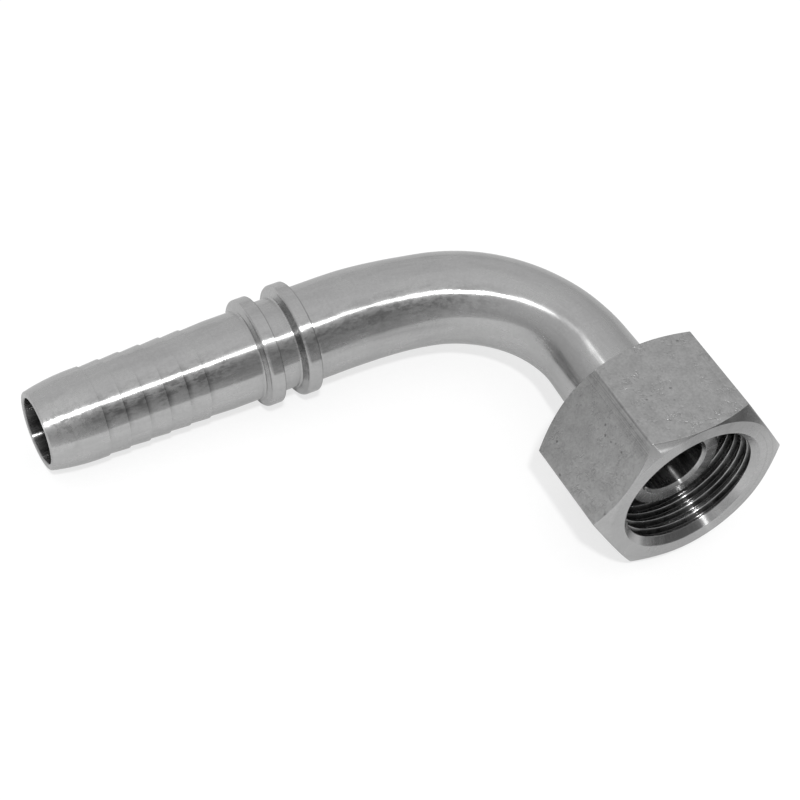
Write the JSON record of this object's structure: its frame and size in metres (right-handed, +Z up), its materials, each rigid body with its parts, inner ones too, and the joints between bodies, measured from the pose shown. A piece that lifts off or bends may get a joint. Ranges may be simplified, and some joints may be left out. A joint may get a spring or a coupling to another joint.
{
  "type": "female swivel elbow",
  "caption": "Right-angle steel hose fitting with a barbed hose tail, two crimp collars, a bent tube and a captive hex swivel nut over a cone nose.",
  "frame": {"origin": "centre of the front face of the cone nose, on the nut's axis", "axes": "the hose tail points along -X, the nut's mouth along -Y and slightly up, +Z up; the elbow lies on a level surface on the nut's back edge and its two collars"},
  "size_m": [0.0931, 0.0594, 0.0294],
  "materials": {
    "stem_steel": "bright zinc plate on drawn and turned steel, neutral grey, smooth with faint turning marks",
    "nut_steel": "zinc plate over drawn hexagon bar, satin flats with fine pits, turned end chamfers and thread"
  },
  "bodies": {
    "stem": {"hose_stem": "stem_steel"},
    "nut": {"swivel_nut": "nut_steel"}
  },
  "joints": [
    {"name": "nut_swivel", "type": "hinge", "parent": "stem", "child": "nut", "pos_m": [0, 0, 0], "axis": [0, -0.9947, 0.1028], "continuous": true}
  ]
}
